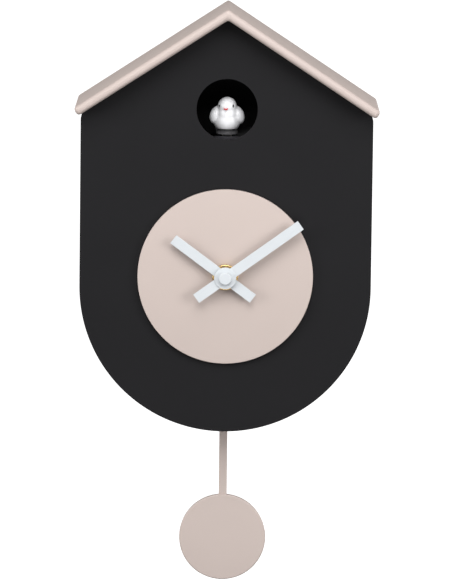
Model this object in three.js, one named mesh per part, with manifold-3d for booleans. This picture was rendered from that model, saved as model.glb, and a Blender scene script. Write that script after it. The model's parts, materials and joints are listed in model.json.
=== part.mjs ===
// A wall-hung cuckoo clock with a quartz movement, a swinging pendulum and a bird that slides out.
// Millimetres. X is to the right seen from the front, Y goes back to the wall and Z is up.
// The origin is on the rear face, which bears on the wall, straight behind the hand axis.
import * as THREE from "three";
import { mergeVertices } from "three/addons/utils/BufferGeometryUtils.js";
import Module from "manifold-3d";

const wasm = await Module();
wasm.setup();

// ---- driving dimensions ----
const GAP = 0.3; // between pieces that touch
const DEG = Math.PI / 180;

const CASE_DEPTH = 70;
const CASE_HALF = 102.8; // half the width, and the radius of the round bottom
const ARC_Z = -8.2; // centre of the round bottom
const WALL = 2.5;
const COVER = 3; // thickness of the rear cover
const EDGE = 1.2; // chamfer of the front edges
const ARC_SEGMENTS = 40; // round bottom

const ROOF_SLOPE = 33.2 * DEG;
const ROOF_APEX = 189.6;
const ROOF_THICK = 6.4;
const ROOF_HALF = 107.8;
const ROOF_DEPTH = 88;
const EAVE_ROUND = 1.8;

const HOLE_R = 21.5; // bird's hole
const HOLE_Z = 118;

const DIAL_R = 61.8;
const DIAL_THICK = 3.7;
const SHAFT_HOLE_R = 5.2;

const HAND_WIDTH = 7.2;
const MINUTE_TIP = 65;
const MINUTE_TAIL = 25;
const HOUR_TIP = 45.6;
const HOUR_TAIL = 24.4;
const MINUTE_ANGLE = 54; // clockwise from twelve, as the hands stand at rest
const HOUR_ANGLE = -53.6;
const HUB_R = 7.7;
const CAP_R = 4.5;
const NUT_R = 9;

const MOVEMENT_HALF = 28;
const MOVEMENT_WALL = 1.5;
const MOVEMENT_FRONT = -66;
const MOVEMENT_SPLIT = -58;
const MOVEMENT_BACK = -52;

const PIVOT_Z = 24; // pendulum pivot above the hand axis
const PENDULUM_Y = -40;
const ROD_WIDTH = 5.8;
const BOB_Z = -192.4;
const BOB_R = 30.9;
const BOB_THICK = 5;

const FLOOR_Z = 98.1; // top of the bird chamber's floor
const SHELF_BACK = -57.7; // the floor is a shelf behind the hole, open behind this
const CHAMBER_HALF = 23;
const BIRD_Y = -49;
const PERCH_R = 7.5;
const PERCH_Z = 98.5;
const PERCH_TOP = 102.5;
const RACK_MODULE = 0.8;
const PINION_TEETH = 12;
const PINION_Y = -29.5;

const CELL_R = 7.25;
const CELL_LENGTH = 50.5;
const CELL_Y = -11;
const CELL_X = [54.5, 70, 85.5];
const DOOR = { x0: 45.4, x1: 94.6, z0: -33.6, z1: 33.6 };

const SPEAKER = { x: -66, z: 2, r: 22 };
const SWITCH_X = -64;
const BUTTON_X = -51;
const CONTROL_Z = -41;

const COVER_SCREWS = [[-95.5, 88], [95.5, 88], [-69, -75], [69, -75]];
const HANGER = { z: 150, half: 20, high: 9, back: -1.5, thick: 0.9, screwX: 15 }; // the steel plate

// ---- solids ----
const solidOf = (geometry) => {
  const bare = geometry.clone();
  bare.deleteAttribute("normal");
  bare.deleteAttribute("uv");
  const merged = mergeVertices(bare, 1e-4);
  const index = merged.index.array;
  const kept = [];
  for (let i = 0; i < index.length; i += 3) {
    const [a, b, c] = [index[i], index[i + 1], index[i + 2]];
    if (a !== b && b !== c && c !== a) {
      kept.push(a, b, c);
    }
  }
  return new wasm.Manifold(
    new wasm.Mesh({
      numProp: 3,
      vertProperties: new Float32Array(merged.attributes.position.array),
      triVerts: new Uint32Array(kept),
    }),
  );
};

const join = (...solids) => solids.reduce((whole, next) => whole.add(next));
const cut = (solid, ...tools) => tools.reduce((whole, tool) => whole.subtract(tool), solid);

const geometryOf = (solid) => {
  const mesh = solid.getMesh();
  const geometry = new THREE.BufferGeometry();
  geometry.setAttribute("position", new THREE.BufferAttribute(new Float32Array(mesh.vertProperties), 3));
  geometry.setIndex(new THREE.BufferAttribute(new Uint32Array(mesh.triVerts), 1));
  geometry.computeVertexNormals();
  return geometry;
};

const box = (x0, x1, y0, y1, z0, z1) => {
  const geometry = new THREE.BoxGeometry(x1 - x0, y1 - y0, z1 - z0);
  geometry.translate((x0 + x1) / 2, (y0 + y1) / 2, (z0 + z1) / 2);
  return solidOf(geometry);
};

// A cylinder along one axis, between two planes across it.
const cylinder = (axis, r, from, to, a, b, segments = 32) => {
  const geometry = new THREE.CylinderGeometry(r, r, to - from, segments);
  const middle = (from + to) / 2;
  if (axis === "y") {
    geometry.translate(a, middle, b);
  } else if (axis === "x") {
    geometry.rotateZ(-Math.PI / 2);
    geometry.translate(middle, a, b);
  } else {
    geometry.rotateX(Math.PI / 2);
    geometry.translate(a, b, middle);
  }
  return solidOf(geometry);
};

// A flat outline drawn in X and Z, given thickness from y0 to y1.
const plate = (outline, y0, y1, curveSegments = 24) => {
  const geometry = new THREE.ExtrudeGeometry(outline, { depth: y1 - y0, bevelEnabled: false, curveSegments });
  geometry.rotateX(Math.PI / 2);
  geometry.translate(0, y1, 0);
  return solidOf(geometry);
};

// A profile of [radius, y] points turned about an axis along Y, through x and z.
const turned = (profile, x = 0, z = 0, segments = 28) => {
  const points = profile.map(([r, y]) => new THREE.Vector2(r, y));
  const geometry = new THREE.LatheGeometry(points, segments);
  geometry.translate(x, 0, z);
  return solidOf(geometry);
};

const ring = (rIn, rOut, y0, y1, x = 0, z = 0, segments = 24) =>
  turned([[rIn, y0], [rOut, y0], [rOut, y1], [rIn, y1], [rIn, y0]], x, z, segments);

const outlineOf = (points) => new THREE.Shape(points.map(([x, z]) => new THREE.Vector2(x, z)));

// ---- gears: straight-flanked teeth with backlash ----
const TOOTH = { addendum: 0.8, dedendum: 1.1, tip: 0.22, root: 0.6 }; // widths as shares of the pitch

const gearOutline = (teeth, module, turn = 0) => {
  const pitchR = (teeth * module) / 2;
  const step = (2 * Math.PI) / teeth;
  const levels = [
    [pitchR - TOOTH.dedendum * module, -TOOTH.root / 2],
    [pitchR + TOOTH.addendum * module, -TOOTH.tip / 2],
    [pitchR + TOOTH.addendum * module, TOOTH.tip / 2],
    [pitchR - TOOTH.dedendum * module, TOOTH.root / 2],
  ];
  const points = [];
  for (let i = 0; i < teeth; i++) {
    for (const [r, share] of levels) {
      const angle = turn + (i + share) * step;
      points.push([r * Math.cos(angle), r * Math.sin(angle)]);
    }
  }
  return points;
};

// A gear on an axis along Y. turn is the direction of one tooth, counter-clockwise from +X.
const gear = (teeth, module, y0, y1, x, z, turn = 0) => {
  const solid = plate(outlineOf(gearOutline(teeth, module, turn)), y0, y1);
  return solid.translate([x, 0, z]);
};

// ---- materials ----
const paint = (color, roughness, metalness = 0) =>
  new THREE.MeshStandardMaterial({ color, roughness, metalness });
const blackPlastic = () => paint(0x28272a, 0.6);
const greigePlastic = () => paint(0xdbcac2, 0.55);
const whitePlastic = () => paint(0xeef1f4, 0.4);
const birdPlastic = () => paint(0xf2f2f4, 0.2);
const greyPlastic = () => paint(0x9a9c9f, 0.5);
const naturalPlastic = () => paint(0xe4dfce, 0.5);
const brass = () => paint(0xc89a4a, 0.3, 1);
const steel = () => paint(0xb9bcc0, 0.35, 1);
const copper = () => paint(0xb8693a, 0.4, 1);
const magnetMetal = () => paint(0x6f7276, 0.4, 1);
const rubber = () => paint(0x1b1b1c, 0.9);
const boardGreen = () => paint(0x2c6b45, 0.5);
const paperCone = () => paint(0x2b2a29, 0.9);
const cellWrap = () => paint(0x4a5a6a, 0.4);

const clock = new THREE.Group();
const node = (name, solid, material) => {
  const mesh = new THREE.Mesh(geometryOf(solid), material);
  mesh.name = name;
  clock.add(mesh);
};

// ---- casing ----
// The house outline, set in from the outside by the given distance.
const houseOutline = (inset) => {
  const half = CASE_HALF - inset;
  const underside = ROOF_APEX - (ROOF_THICK + GAP) / Math.cos(ROOF_SLOPE);
  const apex = underside - inset / Math.cos(ROOF_SLOPE);
  const eave = apex - half * Math.tan(ROOF_SLOPE);
  const outline = new THREE.Shape();
  outline.moveTo(half, ARC_Z);
  outline.lineTo(half, eave);
  outline.lineTo(0, apex);
  outline.lineTo(-half, eave);
  outline.lineTo(-half, ARC_Z);
  outline.absarc(0, ARC_Z, half, Math.PI, 2 * Math.PI, false);
  return outline;
};

const frontCase = () => {
  const skin = new THREE.ExtrudeGeometry(houseOutline(EDGE), {
    depth: CASE_DEPTH,
    bevelEnabled: true,
    bevelSize: EDGE,
    bevelThickness: EDGE,
    bevelSegments: 1,
    curveSegments: ARC_SEGMENTS,
  });
  skin.rotateX(Math.PI / 2);
  skin.translate(0, EDGE, 0);
  let shell = cut(
    solidOf(skin),
    box(-CASE_HALF - 5, CASE_HALF + 5, 0, 10, -200, 200),
    plate(houseOutline(WALL), WALL - CASE_DEPTH, 1, ARC_SEGMENTS),
  );
  for (const [x, z] of COVER_SCREWS) {
    shell = join(shell, cylinder("y", 4.5, -CASE_DEPTH + 1, -COVER - GAP, x, z, 16));
    shell = cut(shell, cylinder("y", 1.6, -20, 0, x, z, 12));
  }
  return cut(
    shell,
    cylinder("y", HOLE_R, -CASE_DEPTH - 1, -CASE_DEPTH + WALL + 1, 0, HOLE_Z, 48),
    cylinder("y", SHAFT_HOLE_R, -CASE_DEPTH - 1, -CASE_DEPTH + WALL + 1, 0, 0, 32),
    box(-19, 19, PENDULUM_Y - 5, PENDULUM_Y + 7, ARC_Z - CASE_HALF - 2, ARC_Z - CASE_HALF + 12),
  );
};

const keyhole = (y0, y1) =>
  join(cylinder("y", 4.5, y0, y1, 0, HANGER.z - 3, 32), box(-2.25, 2.25, y0, y1, HANGER.z - 3, HANGER.z + 5));

const rearCover = () => {
  const inner = -COVER;
  const tub = cut(
    box(DOOR.x0 - 1.4, DOOR.x1 + 1.4, -20.5, inner + 0.5, DOOR.z0 - 1.4, DOOR.z1 + 1.4),
    box(DOOR.x0 + 1.4, DOOR.x1 - 1.4, -18.8, 1, DOOR.z0 + 1.4, DOOR.z1 - 1.4),
  );
  const pad = box(-HANGER.half - 3, HANGER.half + 3, -6, inner + 0.5, HANGER.z - 12, HANGER.z + 12);
  let cover = join(plate(houseOutline(WALL + GAP), -COVER, 0, ARC_SEGMENTS), tub, pad);
  for (const side of [-1, 1]) {
    cover = join(cover, cylinder("y", 3.5, -11, -5.5, side * HANGER.screwX, HANGER.z, 16));
  }
  cover = cut(
    cover,
    box(DOOR.x0 - 0.4, DOOR.x1 + 0.4, -2.5, 1, DOOR.z0 - 0.8, DOOR.z1 + 0.4),
    box(DOOR.x0 + 1.4, DOOR.x1 - 1.4, -18.8, 1, DOOR.z0 + 1.4, DOOR.z1 - 1.4),
    box(DOOR.x0 + 20, DOOR.x1 - 20, -2.5, 1, DOOR.z1, DOOR.z1 + 5),
    cylinder("y", 7.2, -COVER - 1, 1, MOTION.x, MOTION.z, 40),
    box(
      -HANGER.half - 0.4,
      HANGER.half + 0.4,
      HANGER.back - HANGER.thick - GAP,
      1,
      HANGER.z - HANGER.high - 0.4,
      HANGER.z + HANGER.high + 0.4,
    ),
    box(-7, 7, -7, 1, HANGER.z - 8.4, HANGER.z + 7.6),
    box(SWITCH_X - 5.2, SWITCH_X + 5.2, -COVER - 1, 1, CONTROL_Z - 1.9, CONTROL_Z + 1.9),
    cylinder("y", 3.1, -COVER - 1, 1, BUTTON_X, CONTROL_Z, 24),
  );
  for (let row = -2; row <= 2; row++) {
    const half = Math.sqrt(17 ** 2 - (row * 6) ** 2);
    const z = SPEAKER.z + row * 6;
    cover = cut(cover, box(SPEAKER.x - half, SPEAKER.x + half, -COVER - 1, 1, z - 1.3, z + 1.3));
  }
  for (const [x, z] of COVER_SCREWS) {
    cover = cut(cover, cylinder("y", 1.9, -COVER - 1, 1, x, z, 16), cylinder("y", 3.5, -1.9, 1, x, z, 24));
  }
  for (const side of [-1, 1]) {
    cover = cut(cover, cylinder("y", 1.3, -10, 1, side * HANGER.screwX, HANGER.z, 12));
  }
  return cover;
};

// A folded board: its ends are cut square to the slope and rounded.
const roof = () => {
  const slope = [Math.cos(ROOF_SLOPE), -Math.sin(ROOF_SLOPE)];
  const inward = [-Math.sin(ROOF_SLOPE), -Math.cos(ROOF_SLOPE)];
  const run = ROOF_HALF / slope[0];
  const at = (along, deep) => [
    along * slope[0] + deep * inward[0],
    ROOF_APEX + along * slope[1] + deep * inward[1],
  ];
  const half = [];
  const arc = (along, deep, from, to) => {
    for (let i = 0; i <= 4; i++) {
      const angle = from + ((to - from) * i) / 4;
      half.push(at(along + EAVE_ROUND * Math.cos(angle), deep + EAVE_ROUND * Math.sin(angle)));
    }
  };
  arc(run - EAVE_ROUND, ROOF_THICK - EAVE_ROUND, Math.PI / 2, 0);
  arc(run - EAVE_ROUND, EAVE_ROUND, 0, -Math.PI / 2);
  const mirrored = half.map(([x, z]) => [-x, z]).reverse();
  const underside = ROOF_APEX - ROOF_THICK / Math.cos(ROOF_SLOPE);
  return plate(outlineOf([[0, underside], ...half, [0, ROOF_APEX], ...mirrored]), -ROOF_DEPTH, 0);
};

const dialDisc = () => {
  const back = -CASE_DEPTH - GAP;
  const front = back - DIAL_THICK;
  return turned(
    [
      [SHAFT_HOLE_R, front],
      [DIAL_R - 0.5, front],
      [DIAL_R, front + 0.5],
      [DIAL_R, back],
      [SHAFT_HOLE_R, back],
      [SHAFT_HOLE_R, front],
    ],
    0,
    0,
    64,
  );
};

const birdChamber = () => {
  const front = -CASE_DEPTH + WALL + GAP;
  const out = CHAMBER_HALF + 1.5;
  return cut(
    box(-out, out, front, -20, FLOOR_Z - 1.5, 144),
    box(-CHAMBER_HALF, CHAMBER_HALF, front - 1, -19, FLOOR_Z, 142.5),
    box(-CHAMBER_HALF, CHAMBER_HALF, SHELF_BACK, -19, FLOOR_Z - 3, FLOOR_Z + 1),
  );
};

const hangerPlate = () => {
  const { z, half, high, back, thick, screwX } = HANGER;
  let steelPlate = box(-half, half, back - thick, back, z - high, z + high);
  for (const side of [-1, 1]) {
    steelPlate = cut(steelPlate, cylinder("y", 1.4, -3, 1, side * screwX, z, 12));
  }
  return cut(steelPlate, keyhole(-3, 1));
};

// A pan-head screw whose head's face is at y and whose shank points to the front.
const screw = (x, z, y, length, headR, headHigh, shankR) =>
  cut(
    turned(
      [
        [0, y - headHigh - length],
        [shankR, y - headHigh - length + 1.5],
        [shankR, y - headHigh],
        [headR, y - headHigh],
        [headR - 0.3, y],
        [0, y],
      ],
      x,
      z,
      12,
    ),
    box(x - headR * 0.6, x + headR * 0.6, y - 0.6, y + 1, z - 0.35, z + 0.35),
    box(x - 0.35, x + 0.35, y - 0.6, y + 1, z - headR * 0.6, z + headR * 0.6),
  );

// ---- the movement's wheel work ----
// The hand axis is at the origin. Each pair's axes are a little further apart than pitch radii, as backlash.
const BACKLASH = 0.12;
const MOTION_MODULE = 0.6;
const CANNON_TEETH = 10;
const MOTION_WHEEL_TEETH = 30;
const MOTION_PINION_TEETH = 8;
const HOUR_TEETH = 32;
const CENTRE_MODULE = 0.5;
const CENTRE_TEETH = 40;
const THIRD_PINION_TEETH = 8;
const FAST_MODULE = 0.45;
const THIRD_TEETH = 40;
const ROTOR_PINION_TEETH = 8;

const MOTION_DISTANCE = ((CANNON_TEETH + MOTION_WHEEL_TEETH) * MOTION_MODULE) / 2 + BACKLASH;
const MOTION_DIRECTION = 320 * DEG;
const MOTION = {
  x: MOTION_DISTANCE * Math.cos(MOTION_DIRECTION),
  z: MOTION_DISTANCE * Math.sin(MOTION_DIRECTION),
};
const THIRD_DISTANCE = ((CENTRE_TEETH + THIRD_PINION_TEETH) * CENTRE_MODULE) / 2 + BACKLASH;
const THIRD_DIRECTION = 110 * DEG;
const THIRD = {
  x: THIRD_DISTANCE * Math.cos(THIRD_DIRECTION),
  z: THIRD_DISTANCE * Math.sin(THIRD_DIRECTION),
};
const ROTOR_DISTANCE = ((THIRD_TEETH + ROTOR_PINION_TEETH) * FAST_MODULE) / 2 + BACKLASH;
const ROTOR_DIRECTION = 150 * DEG;
const ROTOR = {
  x: THIRD.x + ROTOR_DISTANCE * Math.cos(ROTOR_DIRECTION),
  z: THIRD.z + ROTOR_DISTANCE * Math.sin(ROTOR_DIRECTION),
};

// A gap of the follower faces the tooth that the driver turns towards it.
const gapTowards = (direction, teeth) => direction + Math.PI + Math.PI / teeth;

const hourWheel = () =>
  cut(
    join(
      gear(HOUR_TEETH, MOTION_MODULE, -62.3, -61.1, 0, 0, MOTION_DIRECTION),
      cylinder("y", 3, -80, -61.2, 0, 0, 32),
    ),
    cylinder("y", 1.9, -90, -50, 0, 0, 24),
  );

const minuteArbor = () =>
  join(
    cylinder("y", 1.5, -81.9, -54, 0, 0, 24),
    gear(CANNON_TEETH, MOTION_MODULE, -60.6, -59.2, 0, 0, MOTION_DIRECTION),
    gear(CENTRE_TEETH, CENTRE_MODULE, -58.6, -57.6, 0, 0, THIRD_DIRECTION),
  );

const motionWheel = () =>
  join(
    cylinder("y", 1.2, -64, -4.6, MOTION.x, MOTION.z, 20),
    gear(
      MOTION_WHEEL_TEETH,
      MOTION_MODULE,
      -60.5,
      -59.3,
      MOTION.x,
      MOTION.z,
      gapTowards(MOTION_DIRECTION, MOTION_WHEEL_TEETH),
    ),
    gear(
      MOTION_PINION_TEETH,
      MOTION_MODULE,
      -62.5,
      -60.4,
      MOTION.x,
      MOTION.z,
      gapTowards(MOTION_DIRECTION, MOTION_PINION_TEETH),
    ),
  );

const thirdWheel = () =>
  join(
    cylinder("y", 0.8, -63.5, -54, THIRD.x, THIRD.z, 16),
    gear(
      THIRD_PINION_TEETH,
      CENTRE_MODULE,
      -58.8,
      -56.8,
      THIRD.x,
      THIRD.z,
      gapTowards(THIRD_DIRECTION, THIRD_PINION_TEETH),
    ),
    gear(THIRD_TEETH, FAST_MODULE, -56.9, -55.9, THIRD.x, THIRD.z, ROTOR_DIRECTION),
  );

const rotor = () =>
  join(
    cylinder("y", 0.6, -63.5, -54, ROTOR.x, ROTOR.z, 16),
    cylinder("y", 2.8, -61.2, -58.8, ROTOR.x, ROTOR.z, 28),
    gear(
      ROTOR_PINION_TEETH,
      FAST_MODULE,
      -58.9,
      -55.7,
      ROTOR.x,
      ROTOR.z,
      gapTowards(ROTOR_DIRECTION, ROTOR_PINION_TEETH),
    ),
  );

const COIL_X = -21.5;
const STATOR_Y = -60;

const stator = () =>
  cut(
    join(
      cylinder("y", 5.6, STATOR_Y - 0.5, STATOR_Y + 0.5, ROTOR.x, ROTOR.z, 36),
      box(COIL_X - 1.5, ROTOR.x, STATOR_Y - 0.5, STATOR_Y + 0.5, ROTOR.z - 3.5, ROTOR.z + 3.5),
      box(COIL_X - 1.5, COIL_X + 1.5, STATOR_Y - 0.5, STATOR_Y + 0.5, -13, ROTOR.z),
    ),
    cylinder("y", 3.2, STATOR_Y - 2, STATOR_Y + 2, ROTOR.x, ROTOR.z, 28),
  );

const stepperCoil = () =>
  cut(
    join(
      cylinder("z", 3.4, -10, 8, COIL_X, STATOR_Y, 24),
      cylinder("z", 4, -11, -9.9, COIL_X, STATOR_Y, 24),
      cylinder("z", 4, 7.9, 9, COIL_X, STATOR_Y, 24),
    ),
    box(COIL_X - 1.8, COIL_X + 1.8, STATOR_Y - 0.8, STATOR_Y + 0.8, -20, 20),
  );

const movementCase = () =>
  cut(
    box(-MOVEMENT_HALF, MOVEMENT_HALF, MOVEMENT_FRONT, MOVEMENT_SPLIT, -MOVEMENT_HALF, MOVEMENT_HALF),
    box(
      -MOVEMENT_HALF + MOVEMENT_WALL,
      MOVEMENT_HALF - MOVEMENT_WALL,
      MOVEMENT_FRONT + MOVEMENT_WALL,
      MOVEMENT_SPLIT + 1,
      -MOVEMENT_HALF + MOVEMENT_WALL,
      MOVEMENT_HALF - MOVEMENT_WALL,
    ),
    cylinder("y", 4.9, MOVEMENT_FRONT - 1, MOVEMENT_FRONT + 3, 0, 0, 32),
  );

const movementLid = () =>
  cut(
    box(-MOVEMENT_HALF, MOVEMENT_HALF, MOVEMENT_SPLIT + GAP, MOVEMENT_BACK, -MOVEMENT_HALF, MOVEMENT_HALF),
    box(
      -MOVEMENT_HALF + MOVEMENT_WALL,
      MOVEMENT_HALF - MOVEMENT_WALL,
      MOVEMENT_SPLIT - 1,
      MOVEMENT_BACK - MOVEMENT_WALL,
      -MOVEMENT_HALF + MOVEMENT_WALL,
      MOVEMENT_HALF - MOVEMENT_WALL,
    ),
    cylinder("y", 1.8, MOVEMENT_BACK - 3, MOVEMENT_BACK + 1, MOTION.x, MOTION.z, 20),
  );

const threadedBush = () =>
  turned([
    [3.3, -78.2],
    [4.3, -78.2],
    [4.6, -77.9],
    [4.6, -64.2],
    [7, -64.2],
    [7, -62.8],
    [3.3, -62.8],
    [3.3, -78.2],
  ]);

const fixingNut = () =>
  turned([
    [4.9, -77.8],
    [NUT_R - 0.5, -77.8],
    [NUT_R, -77.3],
    [NUT_R, -74.3],
    [4.9, -74.3],
    [4.9, -77.8],
  ]);

// ---- hands ----
// A flat bar pointing at an angle clockwise from twelve.
const handBar = (tip, tail, angle, y0, y1) =>
  box(-HAND_WIDTH / 2, HAND_WIDTH / 2, y0, y1, -tail, tip).rotate([0, angle, 0]);

const hourHand = () =>
  cut(
    join(handBar(HOUR_TIP, HOUR_TAIL, HOUR_ANGLE, -79.7, -78.8), cylinder("y", 5.6, -79.7, -78.8, 0, 0, 32)),
    cylinder("y", 3.3, -90, -70, 0, 0, 32),
  );

const minuteHand = () =>
  cut(
    join(
      handBar(MINUTE_TIP, MINUTE_TAIL, MINUTE_ANGLE, -81.6, -80.7),
      turned([[0, -82.4], [HUB_R - 0.5, -82.4], [HUB_R, -81.9], [HUB_R, -80.7], [0, -80.7]]),
    ),
    cylinder("y", 1.8, -82.1, -70, 0, 0, 24),
  );

const handCap = () =>
  turned([[0, -85], [CAP_R - 1, -85], [CAP_R - 0.3, -84.7], [CAP_R, -84], [CAP_R, -82.7], [0, -82.7]]);

const timeSetKnob = () => {
  const grip = plate(outlineOf(gearOutline(20, 0.58)), -9.5, -1.2).translate([MOTION.x, 0, MOTION.z]);
  return cut(
    join(grip, cylinder("y", 3.2, -16, -9.4, MOTION.x, MOTION.z, 24)),
    cylinder("y", 1.5, -17, -4.2, MOTION.x, MOTION.z, 20),
  );
};

// ---- pendulum ----
const DRIVE_COIL_Z = -20;

const pendulumDrive = () => join(box(-7.5, 7.5, -51.7, -50.2, -30, 30), box(-4, 4, -50.3, -45, 19.5, 28.5));

const pendulumPin = () =>
  join(
    cylinder("y", 1.5, -44.7, -36.4, 0, PIVOT_Z, 24),
    cylinder("y", 2.8, -36.5, -35.4, 0, PIVOT_Z, 24),
  );

const pendulumArm = () =>
  cut(
    join(
      box(-3, 3, PENDULUM_Y - 1, PENDULUM_Y + 1, -62, PIVOT_Z),
      cylinder("y", 4.5, PENDULUM_Y - 1, PENDULUM_Y + 1, 0, PIVOT_Z, 24),
      cylinder("y", 5, PENDULUM_Y - 1, PENDULUM_Y + 1, 0, DRIVE_COIL_Z, 24),
    ),
    cylinder("y", 1.8, -50, -30, 0, PIVOT_Z, 24),
  );

const pendulumRod = () =>
  box(-ROD_WIDTH / 2, ROD_WIDTH / 2, PENDULUM_Y + 1.3, PENDULUM_Y + 3.3, BOB_Z + 16, -46);

const pendulumBob = () => {
  const back = PENDULUM_Y + 4.6;
  const front = back - BOB_THICK;
  const edge = 0.8;
  return cut(
    turned(
      [
        [0, front],
        [BOB_R - edge, front],
        [BOB_R, front + edge],
        [BOB_R, back - edge],
        [BOB_R - edge, back],
        [0, back],
      ],
      0,
      BOB_Z,
      56,
    ),
    box(
      -ROD_WIDTH / 2 - GAP,
      ROD_WIDTH / 2 + GAP,
      PENDULUM_Y + 1,
      PENDULUM_Y + 3.6,
      BOB_Z + 16 - GAP,
      BOB_Z + BOB_R + 2,
    ),
  );
};

// ---- the bird and its drive ----
const ball = (x, y, z, rx, ry, rz, wide = 16, high = 11) => {
  const geometry = new THREE.SphereGeometry(1, wide, high);
  geometry.rotateX(Math.PI / 2);
  geometry.scale(rx, ry, rz);
  geometry.translate(x, y, z);
  return solidOf(geometry);
};

const birdBody = () => {
  const bird = join(
    ball(0, BIRD_Y, 110.6, 10.2, 12, 10),
    ball(0, BIRD_Y - 3, 118.5, 7.2, 7.4, 7.4),
    ball(-9.2, BIRD_Y + 1, 111.5, 3.3, 9, 7.2, 12, 8),
    ball(9.2, BIRD_Y + 1, 111.5, 3.3, 9, 7.2, 12, 8),
    ball(0, BIRD_Y + 11, 109.1, 4, 6.5, 2.6, 12, 8),
    turned([[0, -1], [1.9, -1], [0, 3.4]], 0, 0, 8)
      .rotate([180, 0, 0])
      .translate([0, BIRD_Y - 10.6, 117.3]),
  );
  return cut(bird, box(-20, 20, -80, 0, 90, PERCH_TOP + GAP));
};

const RACK_PITCH = RACK_MODULE * Math.PI;
const PINION_R = (PINION_TEETH * RACK_MODULE) / 2;
const PITCH_LINE = PERCH_Z + TOOTH.addendum * RACK_MODULE;
const PINION_Z = PITCH_LINE - PINION_R - BACKLASH;

const birdPerch = () => {
  let perch = join(
    cylinder("z", PERCH_R, PERCH_Z, PERCH_TOP, 0, BIRD_Y + 2.5, 40),
    box(-4, 4, BIRD_Y + 3, -5, PERCH_Z, PERCH_TOP),
  );
  // A gap between two teeth, seen along X and centred at y.
  const toothGap = (y) => {
    const wide = (share) => (share * RACK_PITCH) / 2;
    const top = PITCH_LINE + TOOTH.dedendum * RACK_MODULE;
    const shape = outlineOf([
      [y - wide(1 - TOOTH.tip), PERCH_Z - 1],
      [y + wide(1 - TOOTH.tip), PERCH_Z - 1],
      [y + wide(1 - TOOTH.tip), PERCH_Z],
      [y + wide(1 - TOOTH.root), top],
      [y - wide(1 - TOOTH.root), top],
      [y - wide(1 - TOOTH.tip), PERCH_Z],
    ]);
    const geometry = new THREE.ExtrudeGeometry(shape, { depth: 10, bevelEnabled: false });
    geometry.rotateY(Math.PI / 2);
    geometry.rotateX(Math.PI / 2);
    geometry.translate(-5, 0, 0);
    return solidOf(geometry);
  };
  for (let i = -1; i <= 9; i++) {
    perch = cut(perch, toothGap(PINION_Y + i * RACK_PITCH));
  }
  return perch;
};

const birdPinion = () => {
  const turn = Math.PI / 2;
  const flat = plate(outlineOf(gearOutline(PINION_TEETH, RACK_MODULE, turn)), -3.5, 3.5);
  return cut(flat, cylinder("y", 1.2, -5, 5, 0, 0, 16)).rotate([0, 0, 90]).translate([0, PINION_Y, PINION_Z]);
};

const birdMotor = () =>
  join(
    cylinder("x", 7.5, 6.9, 21.5, PINION_Y, PINION_Z, 24),
    cylinder("x", 0.9, -4, 7, PINION_Y, PINION_Z, 16),
  );

const birdRail = () =>
  cut(
    join(
      box(-6.5, 6.5, -30.8, -5, 96.6, 105.1),
      box(-16, 16, -5.2, -COVER - GAP, 93.1, 109.1),
      box(5, 6.5, -36, -20, 87.1, 97.9),
    ),
    box(-4.3, 4.3, -31, -4.7, 95.1, PERCH_TOP + GAP),
    box(-4.9, 4.9, -37, -23, 81.1, 98.3),
    cylinder("x", 1.4, 4, 8, PINION_Y, PINION_Z, 16),
  );

// ---- power ----
const cell = (x, up) => {
  const low = -CELL_LENGTH / 2;
  const high = CELL_LENGTH / 2;
  const nub = up ? [high - 1.1, high] : [low, low + 1.1];
  const can = up ? [low, high - 1] : [low + 1, high];
  return join(
    cylinder("z", CELL_R, can[0], can[1], x, CELL_Y, 24),
    cylinder("z", 2.7, nub[0], nub[1], x, CELL_Y, 12),
  );
};

// A sprung strip at one end of the tub, pressing on the given cells.
const contact = (xs, side) => {
  const edge = [side * 30.9, side * 30.3].sort((a, b) => a - b);
  const press = [side * 30.4, side * (CELL_LENGTH / 2 + GAP)].sort((a, b) => a - b);
  const strip = box(Math.min(...xs) - 4.5, Math.max(...xs) + 4.5, CELL_Y - 5, CELL_Y + 5, edge[0], edge[1]);
  return join(strip, ...xs.map((x) => cylinder("z", 2.4, press[0], press[1], x, CELL_Y, 12)));
};

const batteryDoor = () =>
  join(
    box(DOOR.x0, DOOR.x1, -2.2, 0, DOOR.z0 + 1.1, DOOR.z1),
    cylinder("x", 1.1, DOOR.x0, DOOR.x1, -1.1, DOOR.z0 + 1.1, 24),
  );

// ---- sound ----
const speakerFrame = () =>
  turned(
    [
      [11, -16.3],
      [12.5, -16.3],
      [19, -5.2],
      [SPEAKER.r, -5.2],
      [SPEAKER.r, -COVER - GAP],
      [18.2, -COVER - GAP],
      [18.2, -5],
      [11.4, -15.2],
      [11, -15.2],
      [11, -16.3],
    ],
    SPEAKER.x,
    SPEAKER.z,
  );

const speakerCone = () =>
  turned(
    [
      [0, -13.2],
      [5, -13.2],
      [11.2, -13.1],
      [17.8, -4.6],
      [17, -4.2],
      [10.6, -12.4],
      [5, -9.6],
      [0, -9],
    ],
    SPEAKER.x,
    SPEAKER.z,
  );

const speakerMagnet = () => cylinder("y", 10.4, -24, -16.7, SPEAKER.x, SPEAKER.z, 36);

const soundBoard = () =>
  join(
    box(-80, -44, -10.6, -9.2, -58, -28),
    box(-74, -66, -12.8, -10.5, -55, -47),
    cylinder("y", 2.6, -18, -10.5, -52, -52, 20),
  );

const volumeSwitch = () =>
  cut(
    box(SWITCH_X - 7, SWITCH_X + 7, -8.9, -4.8, CONTROL_Z - 3, CONTROL_Z + 3),
    box(SWITCH_X - 5.6, SWITCH_X + 5.6, -7.4, -4, CONTROL_Z - 1.8, CONTROL_Z + 1.8),
  );

const volumeKnob = () => box(SWITCH_X - 1.8, SWITCH_X + 1.8, -7, -0.5, CONTROL_Z - 1.4, CONTROL_Z + 1.4);

const testSwitch = () => box(BUTTON_X - 3, BUTTON_X + 3, -8.9, -7, CONTROL_Z - 3, CONTROL_Z + 3);

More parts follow.
